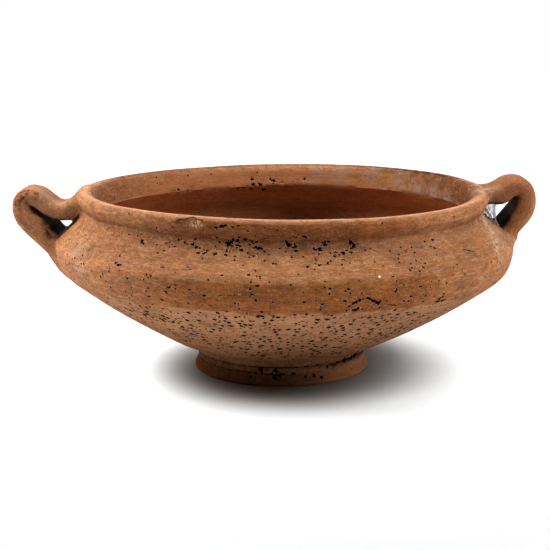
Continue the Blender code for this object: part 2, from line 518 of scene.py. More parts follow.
skin = bmesh.new()
skin.from_mesh(clay_skin)
skin.verts.index_update()
even_out(skin)
edges = np.array([[v.index for v in e.verts] for e in skin.edges])
points = settle(points_of(skin), edges, joint_points(skin))
for vertex, place in zip(skin.verts, points):
    vertex.co = place * MM

# --- Wear and age --------------------------------------------------------------------------------
# Black grit and burnt-out pits lie all over the coarse clay, thickest under the neck and on the lower
# wall. A flake is gone from the lip, the foot's joint has opened at the right, and an arc has cracked
# above the belly's edge. The skin keeps faint turning ridges and the soft dents of wet hands.

# Clusters of pits as (turn from the front in degrees, height, spread along, spread up, count, largest).
OUTER_PITS = (
    (-13, 91, 4.5, 1.7, 24, 1.15),
    (-14, 91, 1.0, 0.4, 2, 1.7),
    (-11, 88, 9, 2.5, 26, 0.9),
    (-10, 93, 0.4, 0.3, 1, 1.5),
    (-7, 92, 0.6, 1.0, 3, 1.3),
    (-6, 89.5, 2, 0.8, 6, 1.1),
    (-1, 90, 0.4, 0.3, 1, 1.4),
    (1, 91.5, 0.5, 0.5, 2, 1.6),
    (2.5, 90.5, 0.5, 1.0, 4, 1.6),
    (8, 89.5, 1.5, 0.8, 6, 1.5),
    (10.5, 92.4, 0.8, 0.6, 4, 1.3),
    (8, 86, 7, 2.5, 18, 1.0),
    (-20, 88, 4, 2.0, 12, 1.2),
    (-31, 89.5, 0.6, 0.3, 2, 1.5),
    (17, 90.5, 2, 1.0, 9, 1.4),
    (14, 87.5, 1.5, 0.8, 7, 1.3),
    (30, 88, 4, 1.5, 3, 1.0),
    (41, 85, 3, 3, 4, 1.2),
    (15.7, 60.4, 0.2, 0.2, 2, 2.2),
    (19.4, 65, 0.5, 0.3, 2, 1.3),
    (38, 62, 1.6, 1.6, 7, 1.6),
    (35, 66, 6, 3, 4, 0.9),
    (-42, 78, 1.5, 1, 3, 1.3),
    (-32, 73, 0.5, 0.5, 1, 1.3),
    (-29, 79, 0.5, 0.5, 1, 1.1),
    (-32, 86, 4, 1, 3, 1.0),
    (-44, 90, 1, 1, 1, 1.0),
    (-42, 102, 1, 0.5, 2, 0.9),
    (-10, 99.5, 7, 1.2, 6, 0.9),
    (-57, 76, 7, 6, 8, 0.9),
    (-45, 72, 3, 3, 3, 1.0),
    (51, 82, 3, 0.5, 2, 0.9),
    (-22, 50, 30, 9, 22, 1.1),
    (-20, 37, 12, 5, 12, 1.2),
    (12, 40, 25, 9, 16, 1.1),
    (32, 48, 20, 7, 12, 1.1),
    (0, 24, 30, 4, 8, 1.1),
    (-14, 9, 0.3, 0.2, 2, 2.1),
    (-9, 9, 0.3, 0.2, 1, 1.5),
    (-4, 9, 0.3, 0.2, 2, 2.0),
    (-5, 5, 0.3, 0.2, 2, 2.0),
    (-1, 6.5, 0.5, 0.3, 1, 1.9),
    (-21, 4.5, 0.3, 0.2, 1, 2.0),
    (8, 7, 0.3, 0.2, 1, 1.8),
    (16, 5, 0.3, 0.2, 2, 1.9),
    (22, 7, 0.3, 1.0, 3, 1.6),
    (26.5, 4, 0.3, 0.2, 1, 1.9),
    (55, 4, 0.4, 0.5, 2, 1.0),
    (-57, 10, 0.4, 1.2, 3, 1.1),
    (-30, 68, 9, 4, 10, 1.1),
    (-9, 68, 12, 4, 14, 1.0),
    (8, 69, 8, 3.5, 9, 1.1),
    (27, 70, 6, 5, 10, 1.0),
    (30, 83, 9, 3, 9, 1.1),
    (3, 82, 20, 4, 12, 0.8),
    (-38, 88, 5, 2, 7, 1.1),
    (-27, 90, 5, 1.5, 6, 1.3),
    (-15, 100.5, 3, 1, 4, 1.3),
    (3, 96, 9, 2, 6, 1.1),
    (-62, 84, 6, 5, 7, 0.9),
    (95, 60, 40, 18, 10, 1.1),
    (140, 88, 25, 4, 14, 1.3),
    (165, 48, 50, 12, 20, 1.2),
    (200, 84, 40, 8, 12, 1.1),
    (225, 50, 40, 12, 16, 1.2),
    (265, 70, 30, 18, 8, 1.0),
)
INNER_PITS = (
    (188.5, 92, 5, 2.5, 9, 1.5),
    (190, 90, 6, 0.7, 7, 1.3),
    (217, 91, 4, 0.6, 5, 1.2),
    (227, 99, 3, 1.5, 4, 1.0),
    (150, 74, 1, 2, 2, 1.1),
    (40, 80, 60, 16, 8, 1.0),
    (180, 60, 60, 20, 8, 1.0),
)
PIT_DEPTH = 0.45
PIT_LEVELS = (1.5, 102)
PIT_STRETCH, PIT_TILT = (1.0, 1.5), 0.35
PIT_REACH, GROOVE_REACH = 1.7, 2.2
SEED = 11

# Lines in the outer wall as (places by turn and height, half width, depth, raggedness, blackness).
GROOVES = (
    (((13.6, 60.2), (14.4, 63.5), (16, 65.8), (17.6, 66.4), (19.2, 65.6), (20.8, 63.6)), 0.5, 0.5, 1.6, 1.0),
    (((22.5, 62.6), (25.5, 61)), 0.35, 0.25, 0.6, 0.7),
    (((31, 9.2), (38, 9.8), (46, 10.3), (54, 10.4), (61, 11.2), (68, 12.6)), 1.05, 1.0, 0.9, 1.0),
    (((-52, 10.9), (-34, 10.5), (-16, 10.4), (0, 10.4), (14, 10.5), (26, 10.8)), 0.42, 0.4, 0.3, 0.95),
    (((-88, 6.9), (-60, 6.7), (-30, 6.8), (-12, 6.5), (2, 6.4)), 0.45, 0.4, 0.3, 0.9),
    (((49.5, 83.4), (51, 82.4), (52.8, 81.4)), 0.35, 0.3, 0.35, 0.9),
    (((-34, 94.6), (-20, 94.2), (-6, 94), (4, 93.8)), 0.35, 0.25, 0.6, 0.5),
)
GROOVE_STEPS = 24
# The flake off the lip: its middle by turn and height, and its half widths along the lip and up it.
FLAKE_TURN, FLAKE_HEIGHT, FLAKE_ALONG, FLAKE_UP = -23.5, 101.4, 8.5, 2.4
FLAKE_DEPTH, FLAKE_GRAIN = 0.9, 0.18
# The mesh is split, once for each margin, round the pits, the grooves and a line through the flake.
FINE_MARGINS = (0.8, 0.25)
FLAKE_SPAN, FLAKE_STOPS = 4.2, 7
RIDGE_HEIGHT, RIDGE_SPACING = 0.07, 7.3
DENT_DEPTH, DENT_WIDTH = 0.22, 34.0
FAR_OFF = 999.0
FINGER_DEPTH, FINGER_WIDTH = 0.3, 13.0
SHARPEST_SMOOTH = 50


def wall_line(inner):
    """The wall's inner or outer side as (height, radius), upwards."""
    crest = section[:, 1].argmax()
    ground = np.abs(section - FOOT_EDGE[1]).sum(1).argmin()
    side = section[:crest] if inner else section[crest : ground + 1][::-1]
    rising = [0]
    for i in range(1, len(side)):
        if side[i, 1] > side[rising[-1], 1] + 1e-6:
            rising.append(i)
    return side[rising][:, ::-1]


INSIDE, OUTSIDE = wall_line(True), wall_line(False)


def on_wall(turn_degrees, height, side=OUTSIDE):
    """A place on the wall, by its turn from the front and its height."""
    turn = math.radians(turn_degrees) - math.pi / 2
    radius = np.interp(height, *side.T)
    centre = centre_x(np.float64(height))
    return np.array([centre + radius * math.cos(turn), radius * math.sin(turn), height + rise(height, turn)])


def on_walls(places, side=OUTSIDE):
    return [on_wall(*place, side) for place in places]


def tree_of(places):
    found = KDTree(len(places))
    for i, place in enumerate(places):
        found.insert(place, i)
    found.balance()
    return found


def refine(shape, places, sizes, margins):
    """Splits the faces near these places, once for each margin."""
    fine_tree = tree_of(places)
    for margin in margins:
        chosen = set()
        for face in shape.faces:
            _, i, gap = fine_tree.find(face.calc_center_median() / MM)
            if gap < sizes[i] + margin:
                chosen.update(face.edges)
        bmesh.ops.subdivide_edges(shape, edges=list(chosen), cuts=1, use_grid_fill=True)
        bmesh.ops.triangulate(shape, faces=[face for face in shape.faces if len(face.verts) > 4])


def waver(points, size, shift):
    """Smooth random numbers, about -1 to 1, in lumps of this size. The shift picks other lumps."""
    return np.array([perlin.noise(place) for place in points / size + shift])


rng = np.random.default_rng(SEED)
pits = []
for side, clusters in ((OUTSIDE, OUTER_PITS), (INSIDE, INNER_PITS)):
    for turn, height, along, up, count, largest in clusters:
        radius = np.interp(height, *side.T)
        for _ in range(count):
            turned = turn + math.degrees(rng.normal(0, along) / radius)
            level = np.clip(height + rng.normal(0, up), *PIT_LEVELS)
            pits.append((on_wall(turned, level, side), largest * (0.4 + 0.6 * rng.uniform() ** 1.5)))
grooves = [np.array(on_walls(smooth(places, GROOVE_STEPS))) for places, *_ in GROOVES]
flake_turns = FLAKE_TURN + FLAKE_SPAN * np.linspace(-1, 1, FLAKE_STOPS)
flake_line = np.array([on_wall(turn, FLAKE_HEIGHT) for turn in flake_turns])
fine_places = np.vstack([[place for place, _ in pits], *grooves, flake_line])
groove_widths = [np.full(len(line), wide) for line, (_, wide, *_) in zip(grooves, GROOVES)]
fine_sizes = np.concatenate([[size for _, size in pits], *groove_widths, np.full(len(flake_line), FLAKE_UP)])
refine(skin, fine_places, fine_sizes, FINE_MARGINS)
skin.verts.index_update()
points, way_out, body_share = snapped(points_of(skin))

grit = np.zeros(len(points))
sunk = np.zeros(len(points))
vertex_tree = tree_of(points)
# Each pit is a lobed hole, drawn out along the wall and tilted a little, with a soft rim.
for place, size in pits:
    lobes = rng.uniform(0, math.tau, 2)
    stretch = rng.uniform(*PIT_STRETCH)
    tilt = rng.normal(0, PIT_TILT)
    found = [i for _, i, _ in vertex_tree.find_range(place, PIT_REACH * size)]
    if not found:
        continue
    off = points[found] - place
    ring = np.array([-place[1], place[0] - AXIS_X, 0.0])
    ring /= np.linalg.norm(ring)
    sideways = off @ ring
    upwards = np.sqrt(np.maximum((off**2).sum(1) - sideways**2, 0)) * np.sign(off[:, 2])
    angle = np.arctan2(upwards, sideways) + tilt
    gap = np.hypot(sideways, upwards)
    outline = 1 + 0.24 * np.sin(3 * angle + lobes[0]) + 0.16 * np.sin(5 * angle + lobes[1])
    reach = gap * np.hypot(np.cos(angle) / stretch, np.sin(angle) * stretch) / (size * outline)
    shape = 1 - eased((reach - 0.5) / 0.5)
    grit[found] = np.maximum(grit[found], shape)
    sunk[found] = np.maximum(sunk[found], PIT_DEPTH * shape)

# The edges of the grooves waver along their run.
for line, (_, wide, depth, ragged, black) in zip(grooves, GROOVES):
    gaps = {}
    for place in line:
        for _, i, gap in vertex_tree.find_range(place, GROOVE_REACH * wide):
            gaps[i] = min(gap, gaps.get(i, gap))
    found, gap = list(gaps), np.array(list(gaps.values()))
    edge = wide * (1 + 2 * ragged * (waver(points[found], 2.2, 5.0) + 0.7 * waver(points[found], 0.9, 9.0)))
    shape = 1 - eased((gap / np.maximum(edge, 0.05) - 0.5) / 0.6)
    grit[found] = np.maximum(grit[found], black * shape)
    sunk[found] = np.maximum(sunk[found], depth * shape)

_, _, knot, turn = from_body(points)
run = run_of(section)
along_wall = np.interp(knot, np.arange(len(section)), run)
turned = (np.degrees(turn) + 90 + 180) % 360 - 180
outside = knot > section[:, 1].argmax()


def off_place(turn_degrees, height, side):
    """How far along the wall and up it each point is from a place. The wall's other side is far off."""
    sideways = np.radians((turned - turn_degrees + 180) % 360 - 180) * np.interp(height, *side.T)
    upwards = points[:, 2] - height
    return np.where(outside == (side is OUTSIDE), sideways, FAR_OFF), upwards


sideways, upwards = off_place(FLAKE_TURN, FLAKE_HEIGHT, OUTSIDE)
sideways, upwards = sideways / FLAKE_ALONG, upwards / FLAKE_UP
angle = np.arctan2(upwards, sideways)
uneven = 1 + 0.12 * np.sin(3 * angle + 1) + 0.08 * np.sin(7 * angle)
broken = (1 - eased((np.hypot(sideways, upwards) * uneven - 0.8) / 0.25)) * body_share
on_flake = np.stack([broken, sideways, upwards], axis=1)
sunk += FLAKE_DEPTH * broken * (0.75 - 0.3 * np.clip(sideways, -1, 1))
sunk += FLAKE_GRAIN * broken * waver(points, 0.9, 3.0)

# The ring that the bowl stands on stays flat.
free = eased((points[:, 2] - 1.0) / 4)
drift = 3 * waver(points, 60.0, 2.0)
ridges = np.sin(math.tau * along_wall / RIDGE_SPACING + drift) * (0.6 + 0.6 * waver(points, 25.0, 4.0))
sunk -= free * body_share * (RIDGE_HEIGHT * ridges + DENT_DEPTH * waver(points, DENT_WIDTH, 1.0))
sunk -= (1 - body_share) * FINGER_DEPTH * waver(points, FINGER_WIDTH, 6.0)

points = points - sunk[:, None] * way_out
for vertex, place in zip(skin.verts, points):
    vertex.co = place * MM

bowl_mesh = bpy.data.meshes.new("earthenware_bowl")
skin.to_mesh(bowl_mesh)
skin.free()
bowl_mesh.materials.clear()
bowl_mesh.materials.append(clay)
bowl_mesh.shade_smooth()
bowl_mesh.set_sharp_from_angle(angle=math.radians(SHARPEST_SMOOTH))

# Where grit crowds, as (turn, height, spread along, spread up, crowding) on the outer wall.
GRIT_ZONES = (
    (-24, 46, 55, 12, 0.95),
    (24, 43, 42, 11, 0.8),
    (0, 26, 34, 8, 0.8),
    (-8, 90, 42, 3.5, 0.42),
    (22, 88, 24, 5, 0.2),
    (0, 70, 80, 8, 0.2),
    (-58, 74, 14, 12, 0.36),
    (180, 46, 110, 15, 0.6),
    (180, 86, 90, 7, 0.4),
)
GRIT_EVERYWHERE = 0.07
COARSE_GRIT_TOP, MOST_ABOVE_IT = 58.5, 0.4
FOOT_TOP, CREST_TOP = 9.5, 102.8

# Dirt, faded places and places of painted shade, as (turn, height) on the wall or as (x, y, height) on the
# straps and by them. The slots whose faces get painted shade are (x, height, reach).
SLOTS = ((-129.0, 87.0, 5.0), (-124.0, 84.0, 7.0), (-119.5, 85.0, 7.0), (128.5, 89.5, 17.0))
# Painted shade runs down the crease where the left strap meets the neck.
CREASE = ((-120.5, -17, 79.5), (-117, -16.5, 83), (-113.5, -16, 86), (-111, -15, 89), (-110, -13, 92))
# Painted shade on the neck wall beside the left loop's hole, and under the right strap's root.
SLOT_SHADE = ((-117, -10, 88), (-116, -12, 91))
ROOT_SHADE = ((80, 86), (84, 81), (76, 79))
LIME = ((77, 92), (74, 88), (70, 84), (66, 80), (63, 77))
INNER_LIME = ((143, 91), (131, 97), (166, 101))
STRAP_HAZE = ((-129, -8, 101.5), (-125, -6, 99), (-120, -5, 97), (117, -9, 102), (122, -10, 104))
WALL_HAZE = ((81, 88), (77, 84), (72, 80), (-60, 78), (-56, 72))
INNER_HAZE = tuple((turn, 100 - abs(turn - 150) / 4) for turn in (112, 120, 128, 136, 148, 160, 168))
STAINS = ((-141, -15, 101), (-136.5, -14, 103), (-145.5, -13, 96), (-127, -17, 81))
# Strokes follow a cylinder of this radius round the body, and a lane of their own along the straps.
STROKE_RADIUS, STRAP_LANE = 100.0, 300.0
STRAP_HOLD = 3


def keep(name, values):
    """Stores a number or a vector for each point of the bowl, for its finish to read."""
    kind, slot = ("FLOAT_VECTOR", "vector") if np.ndim(values) == 2 else ("FLOAT", "value")
    layer = bowl_mesh.attributes.new(name, kind, "POINT")
    layer.data.foreach_set(slot, np.asarray(values, np.float32).ravel())


def patch(places, radius):
    """A soft patch of this radius round each of these places, which may be a line's knots."""
    share = np.zeros(len(points))
    for place in places:
        share = np.maximum(share, np.exp(-((points - place) ** 2).sum(1) / radius**2))
    return share


def close_to(values, middle, width):
    """1 at the middle value, fading out over about this width to each side."""
    return np.exp(-(((values - middle) / width) ** 2))


def within(values, start, end, start_softness, end_softness):
    """1 between two values, with soft ends inside them."""
    return eased((values - start) / start_softness) * eased((end - values) / end_softness)


density = np.full(len(points), GRIT_EVERYWHERE)
for turn, height, along, up, crowd in GRIT_ZONES:
    sideways, upwards = off_place(turn, height, OUTSIDE)
    density += crowd * np.exp(-((sideways / along) ** 2 + (upwards / up) ** 2) / 2)
high_up = points[:, 2] > COARSE_GRIT_TOP
density = np.where(high_up, np.minimum(density, MOST_ABOVE_IT), density)

on_strap = np.zeros(len(points), bool)
round_body = STROKE_RADIUS * np.stack([np.cos(np.radians(turned)), np.sin(np.radians(turned))], axis=1)
stroke = np.column_stack([round_body, along_wall])
distance, _, _, _ = from_body(points)
for course in straps:
    gap, _, place = from_strap(points, course)
    held = (gap < distance) & (gap < STRAP_HOLD)
    along_course = np.interp(place, np.arange(len(course)), run_of(course))
    middle, _ = nearest_on_line(points[:, [0, 2]], course[:, :2])
    through = ((points[:, [0, 2]] - middle) * normals_at(course[:, :2], place)).sum(1)
    lane = np.full(len(points), STRAP_LANE)
    stroke[held] = np.stack([along_course, lane, points[:, 1] + through], axis=1)[held]
    on_strap |= held

# Painted shade lies on the faces that look into a slot, and thins out away from it.
slot_and_crease_shade = np.zeros(len(points))
for x, height, reach in SLOTS:
    towards = np.array([x, height]) - points[:, [0, 2]]
    gap = np.linalg.norm(towards, axis=1)
    facing = (towards * way_out[:, [0, 2]]).sum(1) / np.maximum(gap, 1e-6)
    slot_and_crease_shade = np.maximum(slot_and_crease_shade, eased((facing - 0.5) / 0.4) * eased(2 - 1.6 * gap / reach))

crest_run = run[section[:, 1].argmax()]
joint_run, neck_run, edge_run = (run[np.abs(section - corner).sum(1).argmin()]
                                 for corner in (FOOT[0], NECK[0], BELLY[-1]))
on_body, inside = ~on_strap, ~outside
height, ledge = points[:, 2], LEDGE[1]
at_back = 180 - np.abs(turned)
behind = eased((85 - at_back) / 30)
# Where painted shade goes: on the crest at the back, and inside at the right above the ledge.
back_crest = behind * within(along_wall, crest_run - 4, crest_run + 6, 3, 2)
right_band = inside * eased((height - ledge) / 0.8) * within(turned, 60, 160, 30, 30)
# Where painted light goes: inside at the back above the ledge, inside under it, and the foot at the right.
back_band = inside * within(height, ledge, CREST_TOP, 0.5, 3.0) * eased((78 - at_back) / 45)
under_ledge = inside * eased((ledge - height) / 0.5) * (0.9 - 0.4 * eased((60 - at_back) / 40))
foot_right = outside * eased((FOOT_TOP - height) / 2) * within(turned, 10, 110, 45, 30)

keep("stroke", stroke * MM)
keep("grit", grit)
keep("grit_density", np.clip(density, 0, 1))
keep("strap", on_strap)
keep("flake", on_flake)
# A paler front half of the lip's crest: wear there, and a painted highlight.
keep("lip_wear_and_highlight", (1 - behind) * close_to(along_wall, crest_run, 2.6) * on_body)
keep("rubbed_edge", close_to(along_wall, edge_run, 1.3) * on_body)
# Painted light that pales the clay.
keep("painted_light_band", back_band + under_ledge + 1.6 * foot_right)
# A dark line of soil at the foot's joint; the rest is painted shade, in the neck, inside at the right, on the
# crest at the back, by the left loop's hole and under the right root.
keep("soil_and_painted_shade", (1.1 * close_to(along_wall, joint_run, 0.8) + 0.35 * close_to(along_wall, neck_run, 4.5)
              + 0.7 * right_band + 0.75 * back_crest + 0.9 * patch(SLOT_SHADE, 4.0)) * on_body
     + 0.4 * patch(on_walls(ROOT_SHADE), 8.0))
# Painted shade in the slots and in the crease at the left root.
keep("slot_and_crease_shade", np.maximum(slot_and_crease_shade * on_strap, patch(smooth(CREASE, 4), 2.9) * on_body))
keep("stain", patch(STAINS, 4.6))
keep("lime", patch(on_walls(smooth(LIME, 6)), 3.6) + 0.8 * patch(on_walls(INNER_LIME, INSIDE), 2.6))
keep("haze", patch(STRAP_HAZE, 5.5) + 0.5 * patch(on_walls(WALL_HAZE), 8.0)
     + 0.9 * patch(on_walls(INNER_HAZE, INSIDE), 6.0))

# Painted shade browns the front of the belly band and of the lip, and the foot at the left and front, and the
# right strap is browner clay; a thin pale wash dried elsewhere, all between wavering level lines.
level = height + 1.2 * waver(points, 8.0, 7.0) + 0.6 * waver(points, 3.0, 8.0)
front = eased((48 - np.abs(turned - 4)) / 28) * outside * on_body
belly_and_lip = within(level, 57.8, 76.5, 1.6, 3.0) + within(level, 91.5, 103.0, 2.0, 1.0)
foot_left = outside * eased((FOOT_TOP - level) / 2) * (1 - eased(turned / 40))
keep("browned_and_painted_shade", front * belly_and_lip + foot_left + 0.6 * on_strap * (points[:, 0] > 0))
right_neck = within(turned, 15, 95, 20, 20) * close_to(level, 89, 3.5)
keep("washed", 0.5 * on_strap + outside * on_body * (within(level, 24, 57.6, 20, 1.6) + 0.6 * right_neck))

bowl = new_object("earthenware_bowl", bowl_mesh)
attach(bowl, "root")
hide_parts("bowl")

# --- The clay's finish ----------------------------------------------------------------------------
# Coarse red earthenware, wet-smoothed on the wheel and fired unevenly, so it is matt, mottled from
# orange to brown, drawn out in fine level streaks, and peppered with black grit.

ORANGE_CLAY, RED_BROWN_CLAY, BROWN_CLAY = linear("#9e7757"), linear("#946d51"), linear("#805e47")
RUST_CLAY, BUFF_CLAY, GREY_CLAY = linear("#a87047"), linear("#ae9079"), linear("#a3978f")
# The rubbed tint paints light, and the browning darkens for browner clay and for painted shade.
PALE_CLAY, PAINTED_LIGHT_CLAY, BROWNING_AND_SHADE = linear("#bd9c80"), linear("#bd8f69"), linear("#e6d5bf")
# The soot black darkens real stains and paints shade in the slots; the soil brown marks the foot's joint and
# paints shade.
BLACK_GRIT, SOOT_AND_SHADE_BLACK, SOIL_AND_SHADE_BROWN = linear("#050302"), linear("#281207"), linear("#4a2911")
DULL_CORE, FIBRES = linear("#75563d"), linear("#cdb297")
LIME_WHITE, DUST_GREY = linear("#c4bbb1"), linear("#9f9a97")
WHITE_GRAIN, RED_GRAIN, PALE_GRAIN = linear("#e6d8c2"), linear("#a3472c"), linear("#ddccae")
NOISE_LOW, NOISE_HIGH = 0.28, 0.72

# How far the grit's outlines wander, how wide its pale rims are, and the share of grains without one.
GRIT_WANDER, RIM_WIDTH, RIMLESS_SHARE = 0.9, 0.3, 0.6
# Heights of the relief: fine grain, lumps and streaks. Grit lies sunk by this much.
GRAIN_RELIEF, LUMP_RELIEF, STREAK_RELIEF, GRIT_DROP = 0.14, 0.3, 0.07, 0.3
RELIEF_STRENGTH, CLAY_SHEEN = 0.8, 0.05

clay.use_nodes = True
tree = clay.node_tree
shader = tree.nodes["Principled BSDF"]
place = add_node(tree, "ShaderNodeTexCoord", {}, {}).outputs["Object"]


def kept(name, output="Fac"):
    return add_node(tree, "ShaderNodeAttribute", {"attribute_name": name}, {}).outputs[output]


def noise(vector, size_mm, detail=3.0, roughness=0.55, output="Fac"):
    """Noise whose patches are about this wide."""
    scale = 1 / (size_mm * MM)
    links = {"Vector": vector, "Scale": scale, "Detail": detail, "Roughness": roughness}
    return add_node(tree, "ShaderNodeTexNoise", {}, links).outputs[output]


def between(value, low, high, to_low=0.0, to_high=1.0):
    return add_node(tree, "ShaderNodeMapRange", {"interpolation_type": "SMOOTHSTEP"}, {
        "Value": value, "From Min": low, "From Max": high, "To Min": to_low, "To Max": to_high}).outputs[0]


def times(*values):
    product = values[0]
    for value in values[1:]:
        product = math_node(tree, "MULTIPLY", product, value)
    return product


def stretched(vector, scale):
    return add_node(tree, "ShaderNodeVectorMath", {"operation": "MULTIPLY"}, {0: vector, 1: scale}).outputs[0]


def slanted(turned_by, scale):
    """Places on a turned and stretched copy of the clay, for marks that run aslant."""
    mapped = {"Vector": place, "Rotation": turned_by, "Scale": scale}
    return add_node(tree, "ShaderNodeMapping", {}, mapped).outputs[0]


def strongest(*values):
    found = values[0]
    for value in values[1:]:
        found = math_node(tree, "MAXIMUM", found, value)
    return found


def mix(share, first, second, blend="MIX"):
    """One colour going over into another as the share rises from 0 to 1."""
    return add_node(tree, "ShaderNodeMix", {"data_type": "RGBA", "blend_type": blend},
                    {0: share, 6: first, 7: second}).outputs[2]


def over(colour, tint, share, blotches, strength):
    """The colour with a tint laid on it in blotches, as strongly as its share at each point says."""
    return mix(times(share, blotches, strength), colour, tint)


def shade(colour, value, dark, light, share=1.0):
    """Darkens and lightens a colour as a noise goes from low to high."""
    factor = between(value, NOISE_LOW, NOISE_HIGH, dark, light)
    grey = add_node(tree, "ShaderNodeCombineColor", {}, {0: factor, 1: factor, 2: factor}).outputs[0]
    return mix(share, colour, grey, "MULTIPLY")


def grit_layer(spacing_mm, largest_mm, share, crowding):
    """Irregular specks in random cells of the clay: their cores, and the pale rims round some of them."""
    wandering = {0: noise(place, 0.8, 1.0, output="Color"), 1: (GRIT_WANDER * MM,) * 3, 2: place}
    bent = add_node(tree, "ShaderNodeVectorMath", {"operation": "MULTIPLY_ADD"}, wandering).outputs[0]
    cell = add_node(tree, "ShaderNodeTexVoronoi", {}, {"Vector": bent, "Scale": 1 / (spacing_mm * MM)})
    chance, size, rim = add_node(tree, "ShaderNodeSeparateColor", {}, {0: cell.outputs["Color"]}).outputs[:3]
    radius = between(size, 0.0, 1.0, 0.35 * largest_mm / spacing_mm, largest_mm / spacing_mm)
    present = math_node(tree, "LESS_THAN", chance, times(crowding, share))
    inner = times(radius, 0.7)
    core = math_node(tree, "SUBTRACT", 1.0, between(cell.outputs["Distance"], inner, radius))
    outer = math_node(tree, "ADD", radius, RIM_WIDTH / spacing_mm)
    halo = math_node(tree, "SUBTRACT", 1.0, between(cell.outputs["Distance"], radius, outer))
    rimmed = math_node(tree, "GREATER_THAN", rim, RIMLESS_SHARE)
    return times(core, present), times(halo, present, rimmed)


# Streaks run level round the body and along the straps, and mottles are drawn out the same way.
strokes = stretched(kept("stroke", "Vector"), (0.03, 0.03, 1.0))
mottles = stretched(kept("stroke", "Vector"), (0.35, 0.35, 1.0))
crowding = kept("grit_density")
colour = mix(between(noise(place, 30.0, 4.0), 0.38, 0.62), ORANGE_CLAY, RED_BROWN_CLAY)
colour = mix(between(noise(place, 11.0, 4.0, 0.6), 0.5, 0.78, 0.0, 0.6), colour, BROWN_CLAY)
colour = mix(between(noise(place, 5.0, 5.0, 0.65), 0.52, 0.8, 0.0, 0.6), colour, BUFF_CLAY)
colour = mix(between(noise(mottles, 3.1, 4.0, 0.7), 0.5, 0.7, 0.0, 0.4), colour, RUST_CLAY)
colour = mix(between(noise(mottles, 1.7, 4.0, 0.7), 0.56, 0.76, 0.0, 0.6), colour, GREY_CLAY)
colour = shade(colour, noise(mottles, 2.0, 4.0, 0.7), 0.80, 1.18)
colour = shade(colour, noise(mottles, 0.7, 2.0, 0.8), 0.78, 1.18)
colour = shade(colour, noise(place, 0.6, 2.0, 0.8), 0.90, 1.07)
streak_patches = between(noise(place, 16.0, 2.0), 0.35, 0.65, 0.25, 1.0)
streak_share = times(math_node(tree, "MULTIPLY_ADD", kept("strap"), -0.7, 1.0), streak_patches)
streaks = noise(strokes, 0.9, 3.0, 0.7)
colour = shade(colour, streaks, 0.86, 1.12, streak_share)
colour = shade(colour, noise(strokes, 5.0, 2.0), 0.92, 1.08, streak_share)
scratch_patches = between(noise(place, 18.0, 2.0), 0.42, 0.58)
for turned_by, wide in (((0.5, 0.8, 0.3), 0.8), ((-0.4, -0.7, 0.9), 0.9)):
    scratches = between(noise(slanted(turned_by, (1.0, 0.08, 1.0)), wide, 2.0), 0.62, 0.70)
    colour = over(colour, PALE_CLAY, scratches, scratch_patches, 0.5)

# Wash, wear with a painted highlight, soil and browning with painted shade, painted light, haze and lime,
# each where the bowl keeps it and in blotches of its own.
colour = over(colour, BUFF_CLAY, kept("washed"), between(noise(mottles, 6.0, 3.0), 0.3, 0.6), 0.28)
# Wear and a painted highlight pale the front of the lip's crest.
colour = over(colour, PALE_CLAY, kept("lip_wear_and_highlight"), between(noise(place, 4.0, 4.0), 0.2, 0.6), 0.7)
colour = over(colour, PALE_CLAY, kept("rubbed_edge"), between(noise(place, 7.0, 4.0, 0.6), 0.42, 0.62), 0.5)
# Soil darkens the foot's joint; elsewhere this is painted shade.
colour = over(colour, SOIL_AND_SHADE_BROWN, kept("soil_and_painted_shade"), between(noise(place, 3.0, 4.0, 0.65), 0.3, 0.6, 0.35, 1.0), 0.8)
# Browner clay on the right strap, and painted shade on the front and on the foot at the left.
colour = mix(kept("browned_and_painted_shade"), colour, BROWNING_AND_SHADE, "MULTIPLY")
# Painted light pales the inside at the back and under the ledge, and the foot at the right.
light_blotches = between(noise(mottles, 5.0, 4.0, 0.7), 0.25, 0.7, 0.3, 0.8)
colour = over(colour, PAINTED_LIGHT_CLAY, kept("painted_light_band"), light_blotches, 1.0)
flake_parts = add_node(tree, "ShaderNodeSeparateXYZ", {}, {0: kept("flake", "Vector")})
flake, flake_along, flake_up = flake_parts.outputs
fibres = between(noise(slanted((0.0, 0.7, 0.0), (1.0, 1.0, 0.25)), 0.8, 3.0, 0.7), 0.45, 0.6)
pale_end = between(math_node(tree, "SUBTRACT", flake_along, times(flake_up, 0.4)), -0.35, 0.35)
colour = mix(times(flake, 0.8), colour, mix(times(fibres, pale_end), DULL_CORE, FIBRES))
# Painted shade under the upper rim of the flake.
flake_edge_shade = times(between(flake, 0.02, 0.35), between(flake, 0.55, 0.85, 1.0, 0.0))
colour = over(colour, SOIL_AND_SHADE_BROWN, flake_edge_shade, between(flake_up, -0.1, 0.4), 0.9)
colour = over(colour, DUST_GREY, kept("haze"), between(noise(place, 3.5, 4.0, 0.6), 0.3, 0.65), 0.6)
colour = over(colour, LIME_WHITE, kept("lime"), between(noise(place, 2.6, 4.0, 0.7), 0.44, 0.6), 0.6)

coarse_grit, coarse_rims = grit_layer(3.2, 1.5, 0.95, between(crowding, 0.4, 0.8))
fine_grit, fine_rims = grit_layer(2.1, 0.7, 0.7, crowding)
dust_grit, _ = grit_layer(1.1, 0.26, 0.3, 1.0)
wander = math_node(tree, "SUBTRACT", noise(place, 1.2, 2.0), 0.5)
ragged = math_node(tree, "MULTIPLY_ADD", wander, 0.6, kept("grit"))
pit_rims = times(between(ragged, 0.05, 0.2), between(ragged, 0.2, 0.38, 1.0, 0.0))
colour = mix(times(strongest(coarse_rims, fine_rims, pit_rims), 0.4), colour, PALE_CLAY)
colour = over(colour, SOOT_AND_SHADE_BLACK, kept("stain"), between(noise(place, 2.4, 5.0, 0.75), 0.5, 0.58), 0.85)
